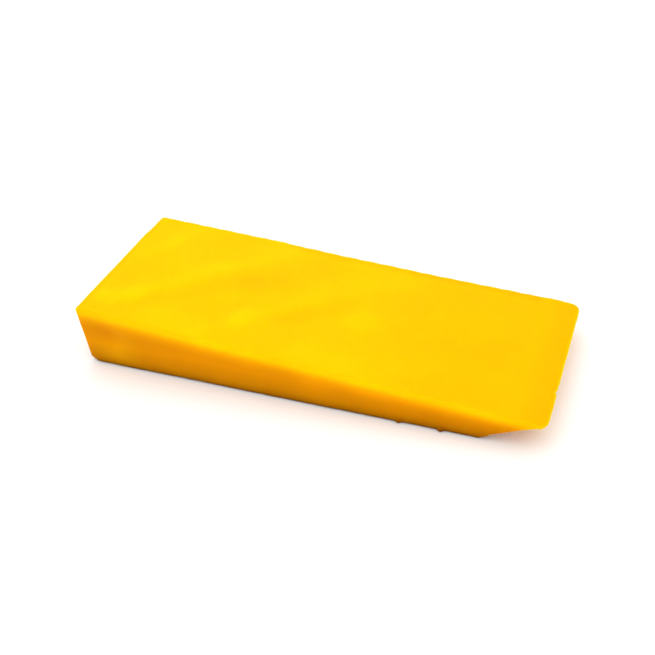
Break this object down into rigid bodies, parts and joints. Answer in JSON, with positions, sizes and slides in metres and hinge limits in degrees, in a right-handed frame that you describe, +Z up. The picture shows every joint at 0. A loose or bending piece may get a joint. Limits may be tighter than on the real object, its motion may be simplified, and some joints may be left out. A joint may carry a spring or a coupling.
{
  "type": "clay bar",
  "caption": "Wedge-shaped bar of yellow detailing clay, raked at one end, kneaded and rubbed over lubricated car paint to lift bonded grime.",
  "frame": {"origin": "under the middle of the bar's box, on the flat underside that it rests on", "axes": "+X along the bar from its square, thick end to its raked, thin end; +Y to the back; +Z up"},
  "size_m": [0.133, 0.05, 0.0196],
  "materials": {
    "clay": "satin"
  },
  "bodies": {
    "root": {"clay_bar": "clay"}
  },
  "joints": []
}
